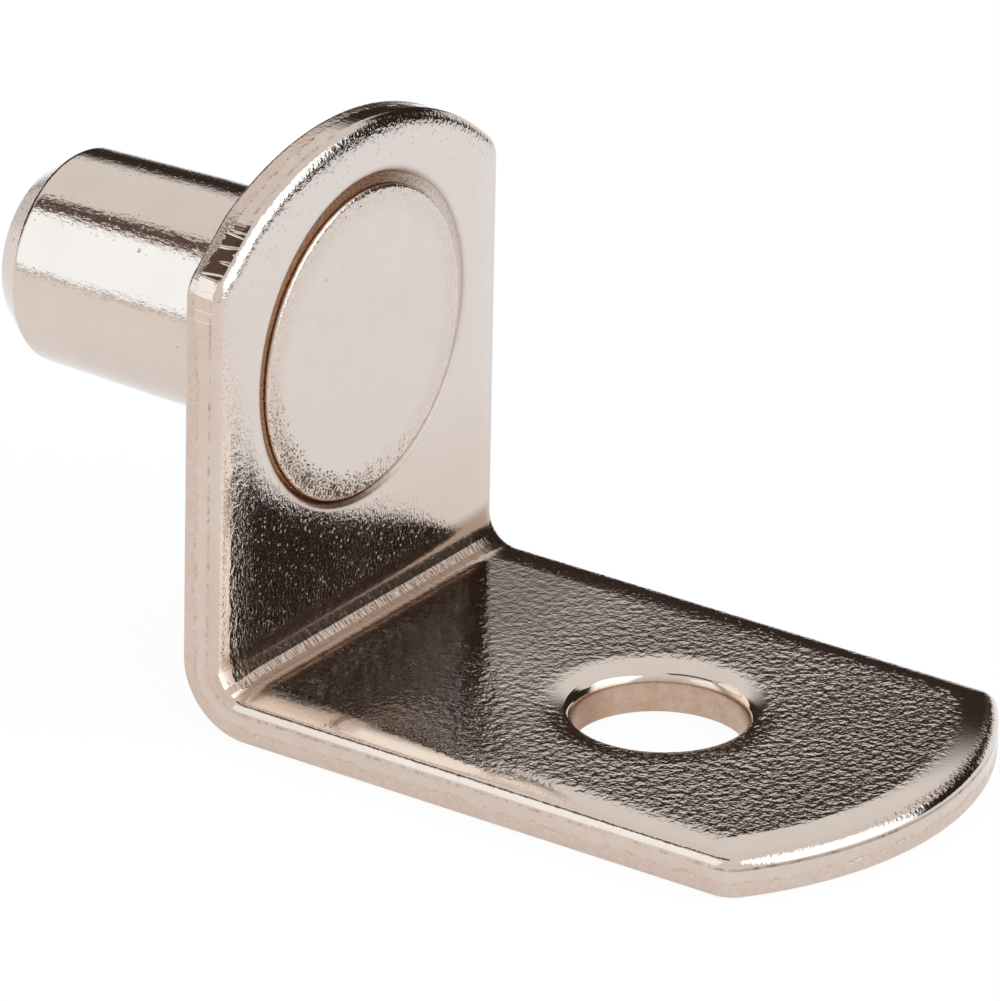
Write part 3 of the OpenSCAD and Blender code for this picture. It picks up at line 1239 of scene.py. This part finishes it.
lumps = times(beaten, margin, opposite(near_side), opposite(smooth_edge))
sides = plus(cuts, times(beaten, torn), times(furrow, -FURROW_DEPTH))
sides = plus(sides, times(ribs, RIB_HEIGHT), lumps)
rim_line = band(at["Depth"], 0.35, 0.46, 0.03)
rim_line = times(near_side, rim_line, plus(broken, ease(at["From Tip"], 0.3, 0.1)))
print("cut sides:", len(tree.nodes), "nodes so far")

# %% Bracket: ironed edge
IRONED_W = (0.5, 1.2)
widest = times(ease(past_bend, -8, -0.5), ease(past_bend, 0.5, 0.2))
ragged = plus(at["From Left"], times(tatters, 0.35))
ragged = larger(ragged, blend_values(widest, *IRONED_W))
ragged = larger(minus(ROLL_W, ragged), 0)
ironed = times(ragged, ragged, 0.5 * math.tan(ROLL_SLOPE) / ROLL_W)
ironed = times(ironed, times(band(past_bend, -9, 9, 3), ease(at["Depth"], 0.6, 0.3)))
sides = plus(sides, ironed)
print("ironed edge:", len(tree.nodes), "nodes so far")

# %% [markdown]
# Across the inner bend run short strokes of the bending tool. That corner is dull, and brown
# is painted into it as the crease's shade, except on a narrow line. There the tool's nose has
# pressed the round a little flat and polished it, so the whole line faces one way and shines.

# %% Bracket: bend
LINE_FROM = 0.44
LINE_TO = 0.66
STROKE_HEIGHT = 0.002
LINE_STROKE_HEIGHT = 0.008
inside = ease(at["Depth"], 0.6, 0.3)
across_bend = band(past_bend, -0.4, BEND_LEN + 0.45, 0.45)
corner = times(across_bend, inside, ease(at["From Side"], 0.1, 0.5))
strokes = lines_on(sheet, (1, 0.25, 0.25), size=0.085, height=1)
line = band(past_bend, LINE_FROM - 0.04, LINE_TO + 0.03, 0.05)
polished = times(line, ease(strokes, -0.2, 0.1))
below_line = ease(past_bend, 0.32, 0.2)
# This mask gives the corner its real dullness in the roughness, and its painted shade: the brown of the
# crease.
dull_shaded_bend = times(corner, opposite(polished), opposite(times(below_line, 0.6)))
strokes = times(strokes, corner, plus(STROKE_HEIGHT, times(line, LINE_STROKE_HEIGHT)))
up_line = smaller(larger(minus(past_bend, LINE_FROM), 0), LINE_TO - LINE_FROM)
nose = times(up_line, up_line, inside, ease(at["From Side"], 0, 0.35), -0.5 / BEND_R)
nose = times(nose, ease(past_bend, 7, 1))
finish_normal(metal, plus(faces, sides, strokes, nose))
print("bend:", len(tree.nodes), "nodes so far")

# %% Bracket: colour and polish
coat = place_group(plating, {"Place": sheet})
dots = pits_on(sheet, spacing=0.6, radius=0.04, share=0.03, depth=0.006)["Mask"]
hole_wall = times(ease(at["From Hole"], 0.14, 0.02), ease(at["Depth"], 0.1, 0.4))
across = plus(times(axes["X"], AWAY_Y), times(from_hole_y, -AWAY_X))
# Painted shade: one end of the screw hole's wall is painted deep brown.
hole_shaded_end = times(hole_wall, ease(across, -1.0, -2.1), 0.7)
open_side = ease(axes["X"], 3.0, 0.5)
mouth = times(ease(at["From Recess"], 0.28, 0.02), ease(at["Depth"], 1.1, 0.9))
# Painted shade: the recess's mouth round the pin's head is painted deep brown, most on the left, where the
# gap is open. The same noise mottles this shade and the stains on the cut sides.
gap_shade = times(mouth, plus(0.2, times(open_side, 0.8)))
leg_side = times(near_side, on_leg, ease(at["From Tip"], 0.1, 0.4), 0.1)
stain_and_shade_noise = ease(noise(sheet, 2.5, detail=3, roughness=0.75), -0.15, 0.15)
# Painted shade: a faint brown band on the inner side of the sheet, on both sides of the bend.
bend_shade_band = times(ease(past_bend, 6, 2), ease(past_bend, -5, -1), inside)
finish_colour(metal, coat, (
    (plus(times(furrow, 0.7), times(torn, coat["Mottle"], 0.45)), THIN_PLATE_AND_SHADE),
    (plus(leg_side, times(near_side, stain_and_shade_noise, 0.18)), THIN_PLATE_AND_SHADE),
    (plus(times(coat["Cloud"], 0.12), times(margin, 0.15)), THIN_PLATE_AND_SHADE),
    (times(bend_shade_band, 0.3), THIN_PLATE_AND_SHADE),
    (times(rim_line, 0.45), PIT_BROWN),
    (times(dull_shaded_bend, 0.85), BEND_SHADE_BROWN),
    (times(hole_wall, plus(0.7, times(stain_and_shade_noise, 0.3))), HOLE_BROWN),
    (hole_shaded_end, DEEP_SHADE_BROWN),
    (times(gap_shade, plus(0.6, times(stain_and_shade_noise, 0.4))), DEEP_SHADE_BROWN),
    (times(dots, 0.7), PIT_BROWN),
))
dull_mouth = times(mouth, blend_values(open_side, 0.75, 0.3))
finish_polish(metal, coat, times(torn, 0.14), times(dull_shaded_bend, 0.12), times(hole_wall, 0.2), dull_mouth)
blank.data.materials.append(bracket_metal)
print("bracket material has", len(tree.nodes), "nodes")

# %% [markdown]
# ## Finish: the pin
#
# The pin was turned from drawn wire, so its marks run along it, short and fine, and show
# only where a reflection changes. Its head has been struck: the middle is as smooth as the
# punch, and round the rim, where the blow was light, the old skin is left. It is worst at
# the lower left, where the pits are not closed.

# %% Pin: shank
PER_METRE = 1 / MM
SHANK_FROM = -0.2
pin_metal, tree, metal = new_metal("pin_nickel")
place = scaled(object_place(tree), (PER_METRE, PER_METRE, PER_METRE))
axes = split(place)
on_shank = calculate("GREATER_THAN", axes["Y"], SHANK_FROM)
on_head = opposite(on_shank)
wire = lines_on(place, (1, 0.35, 1), size=0.14, height=0.006)
peel = peel_on(place, size=0.16, height=0.004)
skin = peel_on(place, size=0.06, height=0.0018)
speck = pits_on(place, spacing=0.12, radius=0.03, share=0.2, depth=0.0022)["Height"]
shank_height = times(plus(wire, peel, speck), on_shank)
print("shank:", len(tree.nodes), "nodes so far")

# %% Pin: head
from_middle = distance_from(scaled(place, (1, 0, 1)), (0, 0, -HEAD_DROP))
weak_side = plus(times(axes["X"], -0.4), times(axes["Z"], -0.75))
weak = times(ease(from_middle, 2.9, 3.9), ease(weak_side, 0.8, 3.0), on_head)
rim_band = times(ease(from_middle, 3.3, 4.0), on_head)
weak = plus(weak, times(rim_band, 0.3), times(noise(place, 1.5), 0.5))
ragged = times(ease(weak, 0.35, 0.9), on_head)
old = pits_on(place, spacing=0.17, radius=0.07, share=0.8, depth=0.011)
rare = pits_on(place, spacing=0.6, radius=0.045, share=0.1, depth=0.008)
press = peel_on(place, size=0.6, height=0.003)
rim_skin = peel_on(place, size=0.13, height=0.015)
head_height = plus(times(old["Height"], ragged), times(press, on_head))
head_height = plus(head_height, times(rim_skin, rim_band), rare["Height"])
finish_normal(metal, plus(shank_height, head_height, skin))
print("head:", len(tree.nodes), "nodes so far")

# %% Pin: colour and polish
coat = place_group(plating, {"Place": place})
pitted = larger(times(old["Mask"], ragged, 0.6), times(rare["Mask"], 0.6))
open_side = plus(0.2, times(ease(axes["X"], 3.0, 0.5), 0.8))
# Painted shade: the head's side down in the recess is painted deep brown where the gap to the wall is open.
deep = times(on_head, ease(axes["Y"], -1.22, -1.16), open_side)
chamfer = ease(axes["Y"], PIN_LEN - CHAMFER_LEN - 0.1, PIN_LEN - CHAMFER_LEN + 0.2)
squeezed = times(ease(from_middle, 4.1, 4.3), on_head)
finish_colour(metal, coat, (
    (plus(times(coat["Cloud"], 0.2), times(chamfer, 0.2)), THIN_PLATE_AND_SHADE),
    (times(rim_band, coat["Mottle"], 0.5), THIN_PLATE_AND_SHADE),
    (pitted, PIT_BROWN),
    (deep, DEEP_SHADE_BROWN),
))
finish_polish(metal, coat, times(pitted, 0.2), times(squeezed, 0.3))
shank.data.materials.append(pin_metal)
print("pin material has", len(tree.nodes), "nodes")
